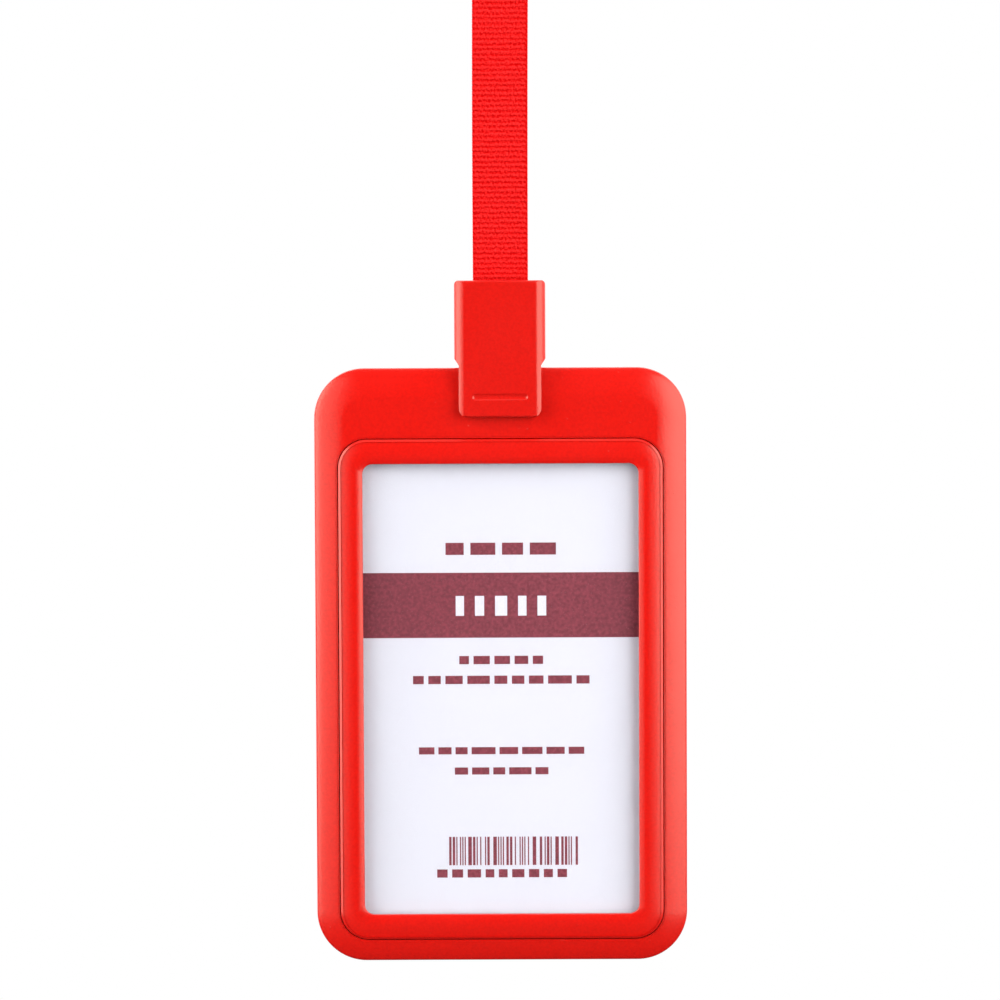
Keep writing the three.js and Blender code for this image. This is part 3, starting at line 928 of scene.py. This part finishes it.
def joinPrint(name, parts, material):
    pick(parts[0])
    for p in parts:
        p.select_set(True)
    if len(parts) > 1:
        bpy.ops.object.join()
    obj = rename(bpy.context.object, name)
    return place(obj, "card", "printed_card", material)


def makePrint():
    dark = ink("maroonInk", printing["dark"], printing["darkGrain"])
    pale = ink("paleInk", printing["pale"], printing["paleGrain"])
    band, words, title = [], [], []
    addFlat(band, cardLow.x + printing["bandMargin"], cardHigh.x - printing["bandMargin"],
            clipTop - printing["bandBottom"] * mm, clipTop - printing["bandTop"] * mm)
    for drop, width, tall, count, seed, tone in printing["rows"]:
        if tone == "dark":
            dashes(words, drop, width, tall, count, seed)
        else:
            dashes(title, drop, width, tall, count, seed, printing["lift"])
    top, bottom, width, count, seed = printing["strokes"]
    draw = random.Random(seed)
    shares = [draw.choice((1, 1, 2, 3)) for _ in range(2 * count - 1)]
    unit = width * mm / sum(shares)
    x = (printing["strokesMiddle"] - width / 2) * mm
    for i, share in enumerate(shares):
        if i % 2 == 0:
            addFlat(words, x, x + unit * share, clipTop - bottom * mm, clipTop - top * mm)
        x += unit * share
    joinPrint("cardBand", band, dark)
    joinPrint("cardRows", words, dark)
    joinPrint("cardTitle", title, pale)


def makeHolder():
    makeFrontShell()
    makeRearCover()
    makeBezel()
    makePane()
    makeCard()
    makePrint()
    print("holder made")


makeHolder()


# clip: flap, rear shell, pin and crimp

clip = {
    "width": 16.4 * mm, "tongueWidth": 14.8 * mm, "height": 24.55 * mm, "flapBack": -2.9 * mm,
    "shoulderTop": 14 * mm, "shoulderEnd": 15.25 * mm, "topCorner": 0.8 * mm, "tongueCorner": 1.6 * mm,
    "lip": 0.25 * mm, "topEdge": 0.5 * mm, "gap": 0.3 * mm, "sideRoll": 1.85 * mm, "rollProfile": 0.42,
}
hinge = {"y": -1.7 * mm, "z": clipTop - 1.6 * mm, "bore": 0.6 * mm, "boreHalf": 9 * mm, "boss": 1.05 * mm,
         "lugInner": 5.4 * mm, "lugOuter": 6.5 * mm}
stud = {"width": 8 * mm, "height": 2.4 * mm, "drop": 20.2 * mm, "corner": 0.8 * mm, "edge": 0.35 * mm}
fingerGroove = {"radius": 0.8 * mm, "length": 10.4 * mm, "out": 0.52 * mm, "drop": 20.9 * mm,
                "endRound": 0.75 * mm}
shellBack = {"wall": 1.3 * mm, "inside": 6.9 * mm, "insideDrop": 14.2 * mm, "roof": 1.2 * mm,
             "mouth": 1.9 * mm, "mouthHalf": 5.6 * mm, "mouthDrop": 3 * mm, "jawDrop": 40 * mm,
             "flapRoom": 0.6 * mm, "bossInset": 0.02 * mm, "edge": 0.8 * mm}


# the clip's outline as a block: sleeve, sloping shoulders and a narrower tongue
def clipBlank(name, y0, y1):
    half = clip["width"] / 2
    body = addBlock(name, (-half, y0, clipTop - clip["shoulderEnd"]), (half, y1, clipTop))
    pick(body)
    bpy.ops.object.mode_set(mode="EDIT")
    bpy.ops.mesh.select_all(action="SELECT")
    bpy.ops.mesh.bisect(plane_co=(0, 0, clipTop - clip["shoulderTop"]), plane_no=(0, 0, 1))
    bottom, narrow = clipTop - clip["shoulderEnd"], clip["tongueWidth"] / clip["width"]
    selectParts(body, "FACE", lambda c: all(near(p.z, bottom) for p in c))
    bpy.ops.transform.resize(value=(narrow, 1, 1), center_override=(0, 0, bottom))
    bpy.ops.mesh.extrude_region_move(
        TRANSFORM_OT_translate={"value": (0, 0, -(clip["height"] - clip["shoulderEnd"]))})
    bpy.ops.object.mode_set(mode="OBJECT")
    end = clipTop - clip["height"]
    bevelEdges(body, alongYAt(end), clip["tongueCorner"], 8)
    bevelEdges(body, alongYAt(clipTop), clip["topCorner"], 8)
    return body


def makeFlap():
    front, back = clipLow.y, clip["flapBack"]
    body = clipBlank("clipFlap", front, back)
    # the outline is cut by a bar with rolled sides, then by one with rounded ends
    half, lean = clip["width"] / 2, back - clip["lip"] - front
    top, bottom = clipTop, clipTop - clip["height"]
    sides = addBlock("sides", (-half, front, bottom - past), (half, back + past, top + past))
    stretchY(sides, clip["sideRoll"] / lean, front)
    bevelEdges(sides, lambda c: near(c[0].x, c[1].x) and near(c[0].y, front) and near(c[1].y, front),
               clip["sideRoll"], 14, clip["rollProfile"])
    stretchY(sides, lean / clip["sideRoll"], front)
    ends = addBlock("ends", (-half - past, front, bottom), (half + past, back + past, top))
    bevelEdges(ends, lambda c: near(c[0].z, c[1].z) and near(c[0].y, front) and near(c[1].y, front),
               clip["topEdge"], 8)
    combine(body, sides, "INTERSECT")
    combine(body, ends, "INTERSECT")
    for side in (-1, 1):
        x0, x1 = sorted((side * hinge["lugInner"], side * hinge["lugOuter"]))
        lug = addBlock("lug", (x0, back - bite, hinge["z"] - hinge["boss"]),
                       (x1, hinge["y"], hinge["z"] + hinge["boss"]))
        fuse(lug, addBar("lugEnd", hinge["boss"], x0, x1, hinge["y"], hinge["z"]))
        fuse(body, lug)
    knob = roundedBlock("stud", stud["width"], stud["height"], back - 2 * bite, clipHigh.y, stud["corner"],
                        clipTop - stud["drop"], 8)
    bevelEdges(knob, acrossY(clipHigh.y), stud["edge"], 3)
    fuse(body, knob)
    g = fingerGroove
    groove = addBar("groove", g["radius"], -g["length"] / 2, g["length"] / 2, front - g["out"],
                    clipTop - g["drop"], 40)
    bevelEdges(groove, lambda c: near(c[0].x, c[1].x) and near(abs(c[0].x), g["length"] / 2, 1e-5),
               g["endRound"], 6)
    cutAway(body, groove, addBar("bore", hinge["bore"], -hinge["boreHalf"], hinge["boreHalf"],
                                 hinge["y"], hinge["z"]))
    softenEdges(body, 0.14 * mm, 4, 24)
    return place(body, "clip_flap", "red_plastic", clipRed, "clip_flap")


def makeClipBack():
    s = shellBack
    low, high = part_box("clip_rear_shell")
    front, back = low.y, high.y
    body = clipBlank("clipBack", front, back)
    bevelEdges(body, acrossY(back), s["edge"], 6)
    far = 10 * past
    lugRadius = hinge["boss"] + clip["gap"]
    inside, mouth, gap = s["inside"], s["mouthHalf"], clip["gap"]
    room = [
        ("inside", (-inside, -far, clipTop - s["insideDrop"]),
         (inside, back - s["wall"], clipTop - s["roof"])),
        ("mouth", (-mouth, -far, clipTop - s["mouthDrop"]), (mouth, s["mouth"], clipTop + far)),
        ("jaw", (-far, -far, clipTop - s["jawDrop"]), (far, coverHigh.y + gap, shellHigh.z + gap)),
        ("flapRoom", (-far, -far, hinge["z"]), (far, hinge["y"] + s["flapRoom"], clipTop + far)),
        ("lugRoom", (-inside, -far, hinge["z"] - lugRadius), (inside, hinge["y"] + lugRadius, clipTop + far)),
    ]
    for name, a, b in room:
        cutAway(body, addBlock(name, a, b))
    for side in (-1, 1):
        x0, x1 = sorted((side * inside, side * (clip["width"] / 2 - s["bossInset"])))
        fuse(body, addBar("boss", hinge["boss"], x0, x1, hinge["y"], hinge["z"]))
    cutAway(body, slotBlock("slotCut", 0, front - far, back + far),
            addBar("bore", hinge["bore"], -far, far, hinge["y"], hinge["z"]))
    softenEdges(body, 0.12 * mm, 3, 28)
    return place(body, "clip", "red_plastic", clipRed, "clip_rear_shell")


def brightSteel():
    material, nodes, links, shader = newMaterial("brightSteel")
    coords = nodes.new("ShaderNodeTexCoord")
    lines = nodes.new("ShaderNodeMapping")
    lines.inputs["Scale"].default_value = (400, 9000, 9000)
    links.new(coords.outputs["Object"], lines.inputs["Vector"])
    draw = nodes.new("ShaderNodeTexNoise")
    draw.inputs["Scale"].default_value = 1
    draw.inputs["Detail"].default_value = 3
    links.new(lines.outputs[0], draw.inputs["Vector"])
    rough = nodes.new("ShaderNodeMapRange")
    rough.inputs["To Min"].default_value = 0.18
    rough.inputs["To Max"].default_value = 0.42
    links.new(draw.outputs["Fac"], rough.inputs["Value"])
    links.new(rough.outputs["Result"], shader.inputs["Roughness"])
    shader.inputs["Base Color"].default_value = (0.62, 0.63, 0.65, 1)
    shader.inputs["Metallic"].default_value = 1
    addBump(nodes, links, shader, draw.outputs["Fac"], 0.004 * mm)
    return material


metal = {"pinEnd": 0.1 * mm, "crimpCorner": 0.7 * mm, "crimpSide": 0.8 * mm, "crimpFace": 0.6 * mm}


def makeMetal():
    steel = brightSteel()
    low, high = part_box("clip_hinge_pin")
    pin = addBar("hingePin", (high.z - low.z) / 2, low.x, high.x,
                 (low.y + high.y) / 2, (low.z + high.z) / 2, 32)
    bevelEdges(pin, lambda c: near(c[0].x, c[1].x) and not near(c[0].x, 0), metal["pinEnd"], 3)
    softenEdges(pin, 0.01 * mm, 1, 60)
    place(pin, "clip", "steel", steel, "clip_hinge_pin")
    low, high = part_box("strap_crimp")
    band = addBlock("strapCrimp", low, high)
    bevelEdges(band, lambda c: near(c[0].x, c[1].x) and near(c[0].y, c[1].y), metal["crimpCorner"], 6)
    inner = addBlock("inner", (low.x + metal["crimpSide"], low.y + metal["crimpFace"], low.z - past),
                     (high.x - metal["crimpSide"], high.y - metal["crimpFace"], high.z + past))
    cutAway(band, inner)
    softenEdges(band, 0.08 * mm)
    place(band, "clip", "steel", steel, "strap_crimp")


def makeClip():
    makeFlap()
    makeClipBack()
    makeMetal()
    print("clip made")


makeClip()
